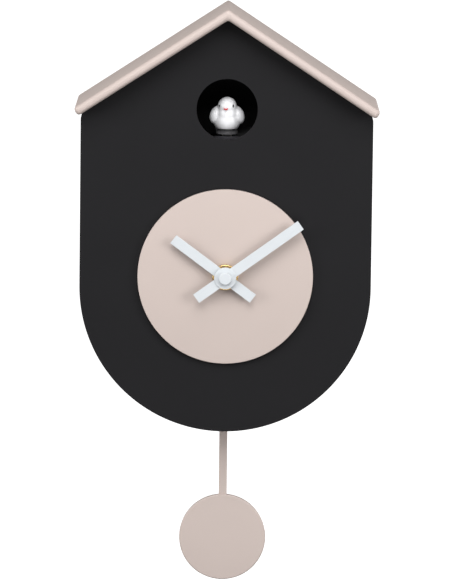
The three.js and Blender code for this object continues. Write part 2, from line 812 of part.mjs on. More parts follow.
const testButton = () => cylinder("y", 2.6, -5.5, -0.5, BUTTON_X, CONTROL_Z, 28);

// ---- assembly ----
node("front_case", frontCase(), blackPlastic());
node("rear_cover", rearCover(), blackPlastic());
node("roof", roof(), greigePlastic());
node("dial_disc", dialDisc(), greigePlastic());
node("bird_chamber", birdChamber(), blackPlastic());
node("hanger_plate", hangerPlate(), steel());
COVER_SCREWS.forEach(([x, z], i) =>
  node(`cover_screw_${i + 1}`, screw(x, z, -GAP, 12, 3.1, 1.3, 1.3), steel()),
);
[-1, 1].forEach((side, i) =>
  node(`hanger_screw_${i + 1}`, screw(side * HANGER.screwX, HANGER.z, -GAP, 7, 2.6, 0.9, 1), steel()),
);

node("movement_case", movementCase(), naturalPlastic());
node("movement_lid", movementLid(), naturalPlastic());
node("threaded_bush", threadedBush(), brass());
node("rubber_washer", ring(5.2, 11, -67.2, -66.3), rubber());
node("fixing_nut", fixingNut(), brass());
node("hour_wheel", hourWheel(), naturalPlastic());
node("minute_arbor", minuteArbor(), greyPlastic());
node("motion_wheel", motionWheel(), greyPlastic());
node("third_wheel", thirdWheel(), naturalPlastic());
node("rotor", rotor(), greyPlastic());
node("stator", stator(), steel());
node("stepper_coil", stepperCoil(), copper());
node("movement_board", box(-15, 25.5, -56.4, -55.4, -26, -14), boardGreen());
node("quartz_crystal", cylinder("x", 1.1, 2, 8, -57.9, -20, 16), steel());
node("hour_hand", hourHand(), whitePlastic());
node("minute_hand", minuteHand(), whitePlastic());
node("hand_cap", handCap(), whitePlastic());
node("time_set_knob", timeSetKnob(), greyPlastic());

node("pendulum_drive", pendulumDrive(), naturalPlastic());
node("pendulum_pin", pendulumPin(), steel());
node("pendulum_coil", ring(2, 7, -49.9, -46.5, 0, DRIVE_COIL_Z), copper());
node("pendulum_arm", pendulumArm(), greyPlastic());
node("pendulum_magnet", cylinder("y", 4, -44.2, PENDULUM_Y - 1.3, 0, DRIVE_COIL_Z, 28), magnetMetal());
node("pendulum_rod", pendulumRod(), greigePlastic());
node("pendulum_bob", pendulumBob(), greigePlastic());

node("bird_body", birdBody(), birdPlastic());
node("bird_perch", birdPerch(), greyPlastic());
node("bird_pinion", birdPinion(), naturalPlastic());
node("bird_motor", birdMotor(), magnetMetal());
node("bird_rail", birdRail(), blackPlastic());

CELL_X.forEach((x, i) => node(`battery_${i + 1}`, cell(x, i % 2 === 0), cellWrap()));
node("contact_top_pair", contact(CELL_X.slice(0, 2), 1), steel());
node("contact_top_single", contact(CELL_X.slice(2), 1), steel());
node("contact_low_single", contact(CELL_X.slice(0, 1), -1), steel());
node("contact_low_pair", contact(CELL_X.slice(1), -1), steel());
node("battery_door", batteryDoor(), blackPlastic());

node("speaker_frame", speakerFrame(), steel());
node("speaker_cone", speakerCone(), paperCone());
node("speaker_magnet", speakerMagnet(), magnetMetal());
node("sound_board", soundBoard(), boardGreen());
node("volume_switch", volumeSwitch(), steel());
node("volume_knob", volumeKnob(), greyPlastic());
node("test_switch", testSwitch(), steel());
node("test_button", testButton(), greyPlastic());

export default clock;
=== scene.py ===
"""A wall-hung cuckoo clock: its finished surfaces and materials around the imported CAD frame.

Lengths in the named values are millimetres; MM turns them into Blender's metres.
X is to the right seen from the front, Y goes back to the wall, and Z is up.
A value whose name ends in _R or _BORE is a radius.
"""
import json
import math

import bmesh
import bpy
from mathutils import Matrix, Vector


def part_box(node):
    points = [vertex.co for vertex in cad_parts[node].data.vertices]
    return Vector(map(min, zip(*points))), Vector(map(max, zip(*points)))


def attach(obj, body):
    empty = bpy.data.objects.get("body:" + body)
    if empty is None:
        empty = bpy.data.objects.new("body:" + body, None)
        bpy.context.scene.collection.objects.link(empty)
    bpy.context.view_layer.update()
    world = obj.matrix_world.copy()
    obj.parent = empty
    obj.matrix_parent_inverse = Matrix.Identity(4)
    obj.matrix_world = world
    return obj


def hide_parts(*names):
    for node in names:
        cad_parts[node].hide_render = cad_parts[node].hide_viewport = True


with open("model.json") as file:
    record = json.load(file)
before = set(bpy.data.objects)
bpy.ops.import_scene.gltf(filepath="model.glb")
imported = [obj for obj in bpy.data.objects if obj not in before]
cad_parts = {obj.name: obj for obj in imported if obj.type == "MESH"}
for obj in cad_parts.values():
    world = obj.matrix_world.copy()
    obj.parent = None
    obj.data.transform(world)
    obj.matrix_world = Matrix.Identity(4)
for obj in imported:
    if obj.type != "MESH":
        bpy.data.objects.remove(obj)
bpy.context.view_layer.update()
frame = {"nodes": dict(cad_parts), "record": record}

MM = 0.001
GAP = 0.3  # between pieces that touch
PAST = 1.0  # a cutting tool runs past a face by this, or by a few times this
LAP = 0.5  # how far joined lumps reach into each other
TINY = 1e-6  # anything shorter counts as nothing
WELD = 1e-7  # in metres: corners closer than this are merged
BEVEL_ANGLE = 32  # degrees between two faces from which their edge is rounded
SHARP_ANGLE = 34  # degrees from which an edge is shaded sharp
CORNER_SHARE = 0.45  # the most of a side that one corner's rounding takes

# ---- places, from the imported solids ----


def box_mm(node):
    low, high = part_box(node)
    return [c / MM for c in low], [c / MM for c in high]


CASE_LOW, CASE_HIGH = box_mm("front_case")
ROOF_LOW, ROOF_HIGH = box_mm("roof")
DIAL_LOW, DIAL_HIGH = box_mm("dial_disc")
BOB_LOW, BOB_HIGH = box_mm("pendulum_bob")
ROD_LOW, ROD_HIGH = box_mm("pendulum_rod")
CAP_LOW, CAP_HIGH = box_mm("hand_cap")
NUT_LOW, NUT_HIGH = box_mm("fixing_nut")
PERCH_LOW, PERCH_HIGH = box_mm("bird_perch")
MINUTE_LOW, MINUTE_HIGH = box_mm("minute_hand")
HOUR_LOW, HOUR_HIGH = box_mm("hour_hand")
KNOB_LOW, KNOB_HIGH = box_mm("time_set_knob")
DOOR_LOW, DOOR_HIGH = box_mm("battery_door")
HANGER_LOW, HANGER_HIGH = box_mm("hanger_plate")
SPEAKER_LOW, SPEAKER_HIGH = box_mm("speaker_frame")
SLIDE_LOW, SLIDE_HIGH = box_mm("volume_knob")
BUTTON_LOW, BUTTON_HIGH = box_mm("test_button")

CASE_HALF = CASE_HIGH[0]
CASE_FRONT = CASE_LOW[1]
ARC_Z = CASE_LOW[2] + CASE_HALF
ROOF_APEX = ROOF_HIGH[2]
ROOF_FRONT = ROOF_LOW[1]
DIAL_R = DIAL_HIGH[0]
BOB_R = (BOB_HIGH[0] - BOB_LOW[0]) / 2
BOB_Z = (BOB_HIGH[2] + BOB_LOW[2]) / 2
PERCH_TOP = PERCH_HIGH[2]
PERCH_R = PERCH_HIGH[0]
BIRD_FOOT = box_mm("bird_body")[0][2]

# ---- sizes the boxes don't give ----
ROOF_SLOPE = math.radians(33.2)
ROOF_THICK = 6.4
ROOF_HALF = 107.8
ROOF_EDGE = 3.0  # rounding of the board's front edge
ROOF_REAR_EDGE = 0.8
ROOF_ROUND_STEPS = 8  # along Y, over the front edge
ROOF_CORNER_STEPS = 8  # round each corner of the outline
EAVE_SHARE = 0.96  # how much of the board's half thickness the eave's rounding takes
RIDGE_REACH = 1.6
APEX_REACH = 2.2  # under the ridge, on the board and the case alike
CASE_EAVE_REACH = 4.5
WALL = 2.5
COVER = 3.0
SHELF_TOP = 98.1  # the bird chamber's floor
SHELF_MARGIN = 0.05  # the shelf's painted light reaches this far above it
HOLE_R = 21.5
HOLE_Z = 118.0
SHAFT_HOLE_R = 5.2
HAND_WIDTH = 7.2
MINUTE_ANGLE = math.radians(54)
HOUR_ANGLE = math.radians(-53.6)
MINUTE_TIP, MINUTE_TAIL = 65.0, 25.0
HOUR_TIP, HOUR_TAIL = 45.6, 24.4
HUB_R = 7.7
BIRD_Y = -49.0
PERCH_Y = BIRD_Y + 2.5
RACK_Y = -29.5  # a tooth gap of the rack
SLOT = (-19.0, 19.0, -45.0, -33.0)  # pendulum slot, x then y
COVER_SCREWS = [(-95.5, 88.0), (95.5, 88.0), (-69.0, -75.0), (69.0, -75.0)]
HANGER_SCREW_X = 15.0
GRILLE_R, GRILLE_PITCH, GRILLE_SLOT = 17.0, 6.0, 2.6
KNOB_RIDGES = 20

scene = bpy.context.scene


# ---- mesh helpers ----
def to_mesh(name, bm):
    bmesh.ops.recalc_face_normals(bm, faces=bm.faces)
    mesh = bpy.data.meshes.new(name)
    bm.to_mesh(mesh)
    bm.free()
    return mesh


def from_lists(name, verts, faces, weld=0.0):
    """A mesh from points in millimetres and faces of their numbers; points closer than weld are merged."""
    bm = bmesh.new()
    made = [bm.verts.new([c * MM for c in v]) for v in verts]
    for face in faces:
        bm.faces.new([made[i] for i in face])
    if weld:
        bmesh.ops.remove_doubles(bm, verts=bm.verts, dist=weld)
    return to_mesh(name, bm)


def bridge(a, b):
    """Faces between two rings of point numbers; a ring that repeats one number is a pole."""
    faces = []
    for i in range(len(a)):
        j = (i + 1) % len(a)
        face = [a[i], a[j], b[j], b[i]]
        face = [v for k, v in enumerate(face) if v != face[k - 1]]
        if len(face) > 2:
            faces.append(face)
    return faces


def prism(outline, y0, y1, turn=0.0):
    """An outline of (x, z) points given thickness along Y, turned clockwise about the hand axis."""
    c, s = math.cos(turn), math.sin(turn)
    flat = [(x * c + z * s, z * c - x * s) for x, z in outline]
    n = len(flat)
    verts = [(x, y0, z) for x, z in flat] + [(x, y1, z) for x, z in flat]
    faces = [list(range(n)), list(range(2 * n - 1, n - 1, -1))]
    faces += [[i, i + n, (i + 1) % n + n, (i + 1) % n] for i in range(n)]
    return from_lists("prism", verts, faces)


def block(x0, x1, y0, y1, z0, z1):
    return prism([(x0, z0), (x1, z0), (x1, z1), (x0, z1)], y0, y1)


def lathe(profile, at=(0.0, 0.0, 0.0), axis="y", segments=96):
    """A profile of (radius, distance) points turned about a line along an axis through a point."""
    verts, faces, rows = [], [], []

    def placed(r, t, a):
        u, v = r * math.cos(a), r * math.sin(a)
        x, y, z = {"y": (u, t, v), "z": (u, v, t), "x": (t, u, v)}[axis]
        return (at[0] + x, at[1] + y, at[2] + z)

    for r, t in profile:
        if r < TINY:
            rows.append([len(verts)] * segments)
            verts.append(placed(0, t, 0))
        else:
            rows.append(list(range(len(verts), len(verts) + segments)))
            verts += [placed(r, t, 2 * math.pi * i / segments) for i in range(segments)]
    closed = profile[0][0] > TINY
    pairs = list(zip(rows, rows[1:])) + ([(rows[-1], rows[0])] if closed else [])
    for a, b in pairs:
        faces += bridge(a, b)
    return from_lists("lathe", verts, faces)


def cylinder(axis, r, low, high, at, segments=64):
    return lathe([(0, low), (r, low), (r, high), (0, high)], at, axis, segments)


def corner_curve(a, p, b, reach, steps):
    """Points round the corner p of the path from a to b, starting and ending a reach away from it."""
    start, end = p + (a - p).normalized() * reach, p + (b - p).normalized() * reach
    shares = [i / steps for i in range(steps + 1)]
    return [tuple(start * (1 - t) ** 2 + p * 2 * t * (1 - t) + end * t**2) for t in shares]


def rounded(points, radius, steps=4):
    """An open profile of points with every corner but its two ends rounded."""
    out = [points[0]]
    for before, here, after in zip(points, points[1:], points[2:]):
        a, p, b = Vector(before), Vector(here), Vector(after)
        reach = min(radius, (a - p).length * CORNER_SHARE, (b - p).length * CORNER_SHARE)
        out += corner_curve(a, p, b, reach, steps)
    out.append(points[-1])
    return out


def rounded_outline(corners, steps=6):
    """A closed outline of (x, z, reach) corners, each rounded from a reach before it to a reach after it."""
    out = []
    for i, (x, z, reach) in enumerate(corners):
        if reach == 0:
            out.append((x, z))
            continue
        before = Vector(corners[i - 1][:2])
        after = Vector(corners[(i + 1) % len(corners)][:2])
        out += corner_curve(before, Vector((x, z)), after, reach, steps)
    return out


def combined(operation, first, *others):
    """One mesh from the first joined with or cut by each of the others."""
    base = bpy.data.objects.new("base", first)
    scene.collection.objects.link(base)
    tools = []
    for other in others:
        tool = bpy.data.objects.new("tool", other)
        scene.collection.objects.link(tool)
        modifier = base.modifiers.new("boolean", "BOOLEAN")
        modifier.operation = operation
        modifier.solver = "EXACT"
        modifier.object = tool
        tools.append(tool)
    graph = bpy.context.evaluated_depsgraph_get()
    mesh = bpy.data.meshes.new_from_object(base.evaluated_get(graph))
    for done in [base, *tools]:
        bpy.data.objects.remove(done)
    bm = bmesh.new()
    bm.from_mesh(mesh)
    bmesh.ops.remove_doubles(bm, verts=bm.verts, dist=WELD)
    bmesh.ops.dissolve_degenerate(bm, edges=bm.edges, dist=WELD)
    return to_mesh("combined", bm)


def join(first, *others):
    return combined("UNION", first, *others)


def cut(first, *others):
    return combined("DIFFERENCE", first, *others)


def soften(obj, width, segments=3, angle=BEVEL_ANGLE):
    """A rounded edge wherever two faces meet at more than an angle."""
    obj.data.shade_smooth()
    modifier = obj.modifiers.new("edges", "BEVEL")
    modifier.width = width * MM
    modifier.segments = segments
    modifier.limit_method = "ANGLE"
    modifier.angle_limit = math.radians(angle)
    modifier.harden_normals = True
    modifier.miter_outer = "MITER_ARC"


def soften_by_place(obj, width, share_at, segments=4):
    """Rounds each edge by the share of the width that share_at gives for its middle in millimetres."""
    mesh = obj.data
    mesh.shade_smooth()
    bm = bmesh.new()
    bm.from_mesh(mesh)
    layer = bm.edges.layers.float.new("bevel_weight_edge")
    for edge in bm.edges:
        if len(edge.link_faces) == 2 and edge.calc_face_angle(0) > math.radians(BEVEL_ANGLE):
            edge[layer] = share_at((edge.verts[0].co + edge.verts[1].co) / (2 * MM))
    bm.to_mesh(mesh)
    bm.free()
    modifier = obj.modifiers.new("edges", "BEVEL")
    modifier.width = width * MM
    modifier.segments = segments
    modifier.limit_method = "WEIGHT"
    modifier.harden_normals = True


def piece(name, mesh, body, slot, *nodes, material=None):
    """A visible piece on a body, standing for the given nodes, in the slot's material or its own."""
    mesh.name = name
    mesh.materials.clear()
    mesh.materials.append(material or MATERIALS[slot])
    obj = bpy.data.objects.new(name, mesh)
    scene.collection.objects.link(obj)
    mesh.shade_smooth()
    mesh.set_sharp_from_angle(angle=math.radians(SHARP_ANGLE))
    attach(obj, body)
    if nodes:
        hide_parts(*nodes)
    return obj


# ---- materials ----
class Surface:
    """A procedural material whose grain, drift and bump follow the object's own coordinates in metres."""

    def __init__(self, name, colour, roughness, metallic=0.0):
        self.material = bpy.data.materials.new(name)
        self.material.use_nodes = True
        self.tree = self.material.node_tree
        self.tree.nodes.clear()
        self.shader = self.add("ShaderNodeBsdfPrincipled")
        output = self.add("ShaderNodeOutputMaterial")
        self.link(self.shader.outputs["BSDF"], output.inputs["Surface"])
        self.shader.inputs["Base Color"].default_value = (*colour, 1)
        self.shader.inputs["Roughness"].default_value = roughness
        self.shader.inputs["Metallic"].default_value = metallic
        self.colour, self.roughness = colour, roughness
        self.place = self.add("ShaderNodeTexCoord").outputs["Object"]
        self.height = None

    def add(self, kind, **values):
        node = self.tree.nodes.new(kind)
        for key, value in values.items():
            setattr(node, key, value)
        return node

    def link(self, start, end):
        self.tree.links.new(start, end)

    def set(self, **values):
        for key, value in values.items():
            self.shader.inputs[key.replace("_", " ")].default_value = value
        return self

    def noise(self, size, detail=3.0, stretch=(1, 1, 1)):
        """Cloudy noise with features of about the given size in millimetres."""
        mapping = self.add("ShaderNodeMapping")
        mapping.inputs["Scale"].default_value = stretch
        self.link(self.place, mapping.inputs["Vector"])
        node = self.add("ShaderNodeTexNoise")
        node.inputs["Scale"].default_value = 1 / (size * MM)
        node.inputs["Detail"].default_value = detail
        self.link(mapping.outputs["Vector"], node.inputs["Vector"])
        return node.outputs["Fac"]

    def ranged(self, value, low, high, start=0.3, end=0.7):
        node = self.add("ShaderNodeMapRange")
        node.inputs["From Min"].default_value = start
        node.inputs["From Max"].default_value = end
        node.inputs["To Min"].default_value = low
        node.inputs["To Max"].default_value = high
        self.link(value, node.inputs["Value"])
        return node.outputs["Result"]

    def maths(self, operation, first, second):
        node = self.add("ShaderNodeMath", operation=operation)
        for socket, value in zip(node.inputs, (first, second)):
            if isinstance(value, (int, float)):
                socket.default_value = value
            else:
                self.link(value, socket)
        return node.outputs["Value"]

    def mixed(self, share, first, second):
        node = self.add("ShaderNodeMix", data_type="RGBA")
        self.link(share, node.inputs["Factor"])
        sockets = [s for s in node.inputs if s.type == "RGBA"]
        for socket, value in zip(sockets, (first, second)):
            if isinstance(value, tuple):
                socket.default_value = (*value, 1)
            else:
                self.link(value, socket)
        return [s for s in node.outputs if s.type == "RGBA"][0]

    def drift(self, size, amount):
        """A slow change of tone across the piece."""
        dark = tuple(c * (1 - amount) for c in self.colour)
        light = tuple(min(1, c * (1 + amount)) for c in self.colour)
        share = self.ranged(self.noise(size, 2), 0, 1)
        self.paint(self.mixed(share, dark, light))
        return self

    def paint(self, colour):
        self.link(colour, self.shader.inputs["Base Color"])
        return self

    def worn(self, size, amount):
        """Roughness that changes a little from place to place."""
        value = self.ranged(self.noise(size, 4), self.roughness - amount, self.roughness + amount)
        self.link(value, self.shader.inputs["Roughness"])
        return self

    def bump(self, height, depth):
        """Relief of the given depth in millimetres, over any relief already there."""
        node = self.add("ShaderNodeBump")
        node.inputs["Distance"].default_value = depth * MM
        node.inputs["Strength"].default_value = 1
        self.link(height, node.inputs["Height"])
        if self.height is not None:
            self.link(self.height, node.inputs["Normal"])
        self.height = node.outputs["Normal"]
        self.link(self.height, self.shader.inputs["Normal"])
        return self

    def grain(self, size, depth, stretch=(1, 1, 1)):
        return self.bump(self.noise(size, 4, stretch), depth)


NEAR_BLACK = (0.003, 0.003, 0.0035)
SLATE = (0.045, 0.07, 0.11)
PALE_BAND = (0.42, 0.43, 0.45)
BAND_AT, BAND_HALF = 0.0185, 0.0025  # metres from the middle of a cell, and half a band's width


def satin_black():
    s = Surface("satin_black", (0.0075, 0.0072, 0.0084), 0.55)
    s.set(Specular_IOR_Level=0.2)
    return s.drift(60, 0.05).worn(9, 0.02).grain(0.7, 0.02).grain(14, 0.01).material


def gloss_black():
    s = Surface("gloss_black", NEAR_BLACK, 0.35)
    s.set(Specular_IOR_Level=0.2)
    return s.drift(20, 0.15).worn(6, 0.05).grain(2.5, 0.012).material


def chamber_painted_light_and_shade():
    """Near black walls as painted shade, with the shelf just inside the hole painted lighter grey as painted
    light from above.
    """
    s = Surface("chamber_painted_light_and_shade", NEAR_BLACK, 0.4)
    s.set(Specular_IOR_Level=0.2)
    parts = s.add("ShaderNodeSeparateXYZ")
    s.link(s.place, parts.inputs["Vector"])
    # painted shade on the walls above the shelf, painted light on the shelf
    above = s.maths("GREATER_THAN", parts.outputs["Z"], (SHELF_TOP + SHELF_MARGIN) * MM)
    shelf = s.mixed(s.ranged(s.noise(5), 0, 1), (0.019, 0.018, 0.0215), (0.023, 0.022, 0.026))
    s.paint(s.mixed(above, shelf, NEAR_BLACK))
    return s.worn(6, 0.05).grain(2.5, 0.012).material


def greige():
    s = Surface("greige", (0.52, 0.438, 0.403), 0.5)
    return s.drift(45, 0.012).worn(8, 0.05).grain(0.6, 0.014).grain(12, 0.03).material


def hand_white():
    s = Surface("hand_white", (0.60, 0.63, 0.655), 0.38)
    return s.drift(12, 0.01).worn(5, 0.04).grain(0.5, 0.008).material


def bird_white():
    s = Surface("bird_white", (0.82, 0.82, 0.84), 0.3)
    s.set(Coat_Weight=0.2, Coat_Roughness=0.2)
    return s.drift(5, 0.015).worn(3, 0.04).grain(1.8, 0.03).material


def moulded(name, colour, roughness):
    s = Surface(name, colour, roughness)
    return s.drift(8, 0.05).worn(4, 0.06).grain(0.5, 0.012).material


def brass():
    s = Surface("brass", (0.80, 0.56, 0.24), 0.26, 1.0)
    rings = s.add("ShaderNodeTexWave", wave_type="RINGS", rings_direction="Y")
    rings.inputs["Scale"].default_value = 320
    rings.inputs["Distortion"].default_value = 0.3
    s.link(s.place, rings.inputs["Vector"])
    return s.drift(3, 0.08).worn(1.5, 0.08).bump(rings.outputs["Fac"], 0.002).material


def steel(name="steel", colour=(0.34, 0.345, 0.36), roughness=0.5):
    s = Surface(name, colour, roughness, 1.0)
    return s.drift(6, 0.08).worn(1.2, 0.09).grain(0.35, 0.006, (1, 1, 0.12)).material


def copper():
    s = Surface("copper", (0.66, 0.27, 0.11), 0.32, 1.0)
    turns = s.add("ShaderNodeTexWave", wave_type="BANDS", bands_direction="Z")
    turns.inputs["Scale"].default_value = 700
    turns.inputs["Distortion"].default_value = 0.3
    s.link(s.place, turns.inputs["Vector"])
    return s.drift(2, 0.12).worn(1, 0.08).bump(turns.outputs["Fac"], 0.05).material


def board():
    s = Surface("board", (0.018, 0.10, 0.045), 0.3)
    tracks = s.add("ShaderNodeTexBrick")
    tracks.inputs["Color1"].default_value = (0.02, 0.125, 0.055, 1)
    tracks.inputs["Color2"].default_value = (0.017, 0.10, 0.044, 1)
    tracks.inputs["Mortar"].default_value = (0.03, 0.18, 0.08, 1)
    tracks.inputs["Scale"].default_value = 420
    tracks.inputs["Mortar Size"].default_value = 0.03
    turned = s.add("ShaderNodeMapping")
    turned.inputs["Rotation"].default_value = (math.pi / 2, 0, 0)
    s.link(s.place, turned.inputs["Vector"])
    s.link(turned.outputs["Vector"], tracks.inputs["Vector"])
    s.paint(tracks.outputs["Color"])
    return s.worn(3, 0.06).bump(tracks.outputs["Fac"], 0.03).material


def sleeve():
    """A plain cell sleeve: slate, with a pale band near each end."""
    s = Surface("sleeve", SLATE, 0.28)
    parts = s.add("ShaderNodeSeparateXYZ")
    s.link(s.place, parts.inputs["Vector"])
    height = s.maths("ABSOLUTE", parts.outputs["Z"], 0)
    band = s.maths("COMPARE", height, BAND_AT)
    band.node.inputs[2].default_value = BAND_HALF
    s.paint(s.mixed(band, SLATE, PALE_BAND))
    return s.worn(4, 0.05).grain(1.0, 0.01).material


def paper():
    s = Surface("paper", (0.03, 0.029, 0.028), 0.85)
    return s.drift(3, 0.25).worn(2, 0.06).grain(0.4, 0.05).material


MATERIALS = {
    "black_plastic": satin_black(),
    "gloss_black_plastic": gloss_black(),
    "greige_plastic": greige(),
    "white_hand": hand_white(),
    "white_bird": bird_white(),
    "grey_plastic": moulded("grey_plastic", (0.16, 0.16, 0.17), 0.4),
    "natural_plastic": moulded("natural_plastic", (0.74, 0.71, 0.61), 0.42),
    "brass": brass(),
    "steel": steel(),
    "copper_wire": copper(),
    "magnet": steel("magnet", (0.22, 0.22, 0.23), 0.5),
    "rubber": moulded("rubber", (0.013, 0.013, 0.013), 0.8),
    "circuit_board": board(),
    "cell_wrap": sleeve(),
    "cone_paper": paper(),
}
EYE = moulded("eye_black", (0.008, 0.008, 0.009), 0.15)
BEAK = moulded("beak_red", (0.62, 0.035, 0.04), 0.3)
PERCH_GREY = moulded("perch_grey", (0.16, 0.158, 0.166), 0.34)
OWN_MATERIALS = {
    # the bird chamber carries painted shade on its walls and painted light on its shelf
    "bird_chamber": chamber_painted_light_and_shade(),
    # the motor is painted near black as painted shade inside the chamber
    "bird_motor": moulded("motor_painted_shade", (0.005, 0.005, 0.006), 0.65),
}

# ---- carried-over CAD nodes ----
for entry in frame["record"]["subparts"]:
    node = frame["nodes"][entry["node"]]
    node.data.materials.clear()
    node.data.materials.append(OWN_MATERIALS.get(entry["node"], MATERIALS[entry["material_slot"]]))


# ---- casing ----
CASE_EDGE = 1.2  # rounding of the front's outer edge
MINOR_SHARE = 0.3  # of that rounding, on the hole, the slot and the rear rim
NEAR = 0.5  # how close an edge lies to a place that it belongs to
SLOT_HIGH = 12.0
POST_R, POST_BORE, POST_DEPTH = 4.5, 1.6, 20.0  # the posts that the cover's screws bite into
DIAL_EDGE = 0.45


def house(inset, arc_steps=96):
    """The house outline with a round bottom, set in by the given distance."""
    half = CASE_HALF - inset
    apex = ROOF_APEX - (ROOF_THICK + GAP + inset) / math.cos(ROOF_SLOPE)
    eave = apex - half * math.tan(ROOF_SLOPE)
    corners = [(half, eave, CASE_EAVE_REACH), (0, apex, APEX_REACH), (-half, eave, CASE_EAVE_REACH)]
    for i in range(arc_steps + 1):
        angle = math.pi + math.pi * i / arc_steps
        corners.append((half * math.cos(angle), ARC_Z + half * math.sin(angle), 0))
    return rounded_outline(corners)


def make_case():
    """The case: a shell open at the back, with the bird's hole, the shaft's hole and the slot."""
    inside = CASE_FRONT + WALL
    before, behind = CASE_FRONT - 2 * PAST, inside + 2 * PAST
    shell = cut(
        prism(house(0), CASE_FRONT, 0),
        prism(house(WALL), inside, 5 * PAST),
        cylinder("y", HOLE_R, before, behind, (0, 0, HOLE_Z), 128),
        cylinder("y", SHAFT_HOLE_R, before, behind, (0, 0, 0), 48),
        block(*SLOT, CASE_LOW[2] - 3 * PAST, CASE_LOW[2] + SLOT_HIGH),
    )
    for x, z in COVER_SCREWS:
        shell = join(shell, cylinder("y", POST_R, CASE_FRONT + 2 * LAP, -COVER - GAP, (x, 0, z), 32))
        shell = cut(shell, cylinder("y", POST_BORE, -POST_DEPTH, 0, (x, 0, z), 24))
    case = piece("case_shell", shell, "housing", "black_plastic", "front_case")

    def share(p):
        if p.y > CASE_FRONT + NEAR:
            on_rim = p.y > -NEAR
            in_slot = abs(p.x) < SLOT[1] + 2 * NEAR and p.z < 0
            return MINOR_SHARE if on_rim or in_slot else 0
        if math.hypot(p.x, p.z) < SHAFT_HOLE_R + 2 * NEAR:
            return 0
        if math.hypot(p.x, p.z - HOLE_Z) < HOLE_R + 2 * NEAR:
            return MINOR_SHARE
        return 1

    soften_by_place(case, CASE_EDGE, share)


def roof_outline(inset):
    """The folded board from the front, set in all round; its ends are square to the slope and rounded."""
    along = Vector((math.cos(ROOF_SLOPE), -math.sin(ROOF_SLOPE)))
    inward = Vector((-math.sin(ROOF_SLOPE), -math.cos(ROOF_SLOPE)))
    corner = Vector((0, ROOF_APEX)) + along * (ROOF_HALF / along.x - inset) + inward * inset
    lower = corner + inward * (ROOF_THICK - 2 * inset)
    top = ROOF_APEX - inset / math.cos(ROOF_SLOPE)
    under = ROOF_APEX - (ROOF_THICK - inset) / math.cos(ROOF_SLOPE)
    reach = EAVE_SHARE * (ROOF_THICK / 2 - inset)
    return rounded_outline(
        [
            (0, under, APEX_REACH),
            (lower.x, lower.y, reach),
            (corner.x, corner.y, reach),
            (0, top, RIDGE_REACH),
            (-corner.x, corner.y, reach),
            (-lower.x, lower.y, reach),
        ],
        ROOF_CORNER_STEPS,
    )


def loft(rings):
    """A closed skin through (outline, y) rings of equal length, closed flat at both ends."""
    verts, faces = [], []
    for outline, y in rings:
        verts += [(x, y, z) for x, z in outline]
    n = len(rings[0][0])
    for k in range(len(rings) - 1):
        for i in range(n):
            j = (i + 1) % n
            faces.append([k * n + i, (k + 1) * n + i, (k + 1) * n + j, k * n + j])
    faces.append(list(range(n)))
    faces.append(list(range(len(verts) - 1, len(verts) - n - 1, -1)))
    return from_lists("loft", verts, faces)


def make_roof():
    """The folded board, with a fully rounded front edge and a slightly rounded rear one."""
    rings = []
    for i in range(ROOF_ROUND_STEPS + 1):
        a = math.pi / 2 * i / ROOF_ROUND_STEPS
        outline = roof_outline(ROOF_EDGE * (1 - math.sin(a)))
        rings.append((outline, ROOF_FRONT + ROOF_EDGE * (1 - math.cos(a))))
    rear_steps = ROOF_ROUND_STEPS // 2
    for i in range(rear_steps + 1):
        a = math.pi / 2 * i / rear_steps
        outline = roof_outline(ROOF_REAR_EDGE * (1 - math.cos(a)))
        rings.append((outline, -ROOF_REAR_EDGE * (1 - math.sin(a))))
    piece("roof_board", loft(rings), "housing", "greige_plastic", "roof")


def make_dial():
    front, back = DIAL_LOW[1], DIAL_HIGH[1]
    ring = [(SHAFT_HOLE_R, front), (DIAL_R, front), (DIAL_R, back), (SHAFT_HOLE_R, back)]
    disc = lathe(rounded(ring, DIAL_EDGE), segments=192)
    piece("dial", disc, "housing", "greige_plastic", "dial_disc")


# ---- back ----
CLEARANCE = 0.4  # round the battery door and the hanger plate, in the cover
KEYHOLE_R, KEYHOLE_HALF, KEYHOLE_DROP, KEYHOLE_RISE = 4.5, 2.25, 3.0, 5.0
TUB_WALL, TUB_FRONT, TUB_FLOOR = 1.4, -20.5, -18.8  # the tub that holds the cells
DOOR_SEAT = -2.5  # where the closed door's recess ends
LATCH_INSET, LATCH_HIGH = 20.0, 5.0  # the finger notch above the door
PAD_MARGIN, PAD_FRONT, PAD_HALF = 3.0, -6.0, 12.0  # the thicker cover around the hanger plate
BOSS_R, BOSS_FRONT, BOSS_BACK = 3.5, -11.0, -5.5  # the hanger screws' bosses
BOSS_BORE, BOSS_BORE_FRONT = 1.3, -10.0
POCKET_HALF, POCKET_DEPTH, POCKET_DROP, POCKET_RISE = 7.0, 7.0, 8.4, 7.6  # room for the wall screw's head
KNOB_HOLE_R = 7.2
SLIDE_SLOT_HALF_X, SLIDE_SLOT_HALF_Z = 5.2, 1.9
BUTTON_HOLE_R = 3.1
SCREW_HOLE_R, SCREW_SINK_R, SCREW_SINK = 1.9, 3.5, 1.9
COVER_EDGE, AT_FACE = 0.35, 0.05  # the rounding, and how close to the rear face its edges lie
DOOR_BARREL, DOOR_THICK, DOOR_EDGE, DOOR_EDGE_ANGLE = 1.1, 2.2, 0.25, 40
GRIPS, GRIP_HALF, GRIP_DEPTH, GRIP_PITCH = 4, 9.0, 0.45, 2.4  # the door's finger grooves
GRIP_FROM, GRIP_TO = 12.0, 10.8  # the lowest one's edges, below the door's top
RIDGE_INSET, RIDGE_DEPTH = 0.3, 0.28  # the knob's ridges
KNOB_GRIP_FRONT, KNOB_STEM_R, KNOB_LAP = -9.5, 3.2, 0.1
KNOB_BORE, KNOB_BORE_FRONT, KNOB_BORE_BACK = 1.5, -17.0, -4.2
KNOB_DISH_R, KNOB_DISH = 4.4, 0.6
PLATE_CORNER, PLATE_HOLE_R, PLATE_EDGE = 2.0, 1.4, 0.12
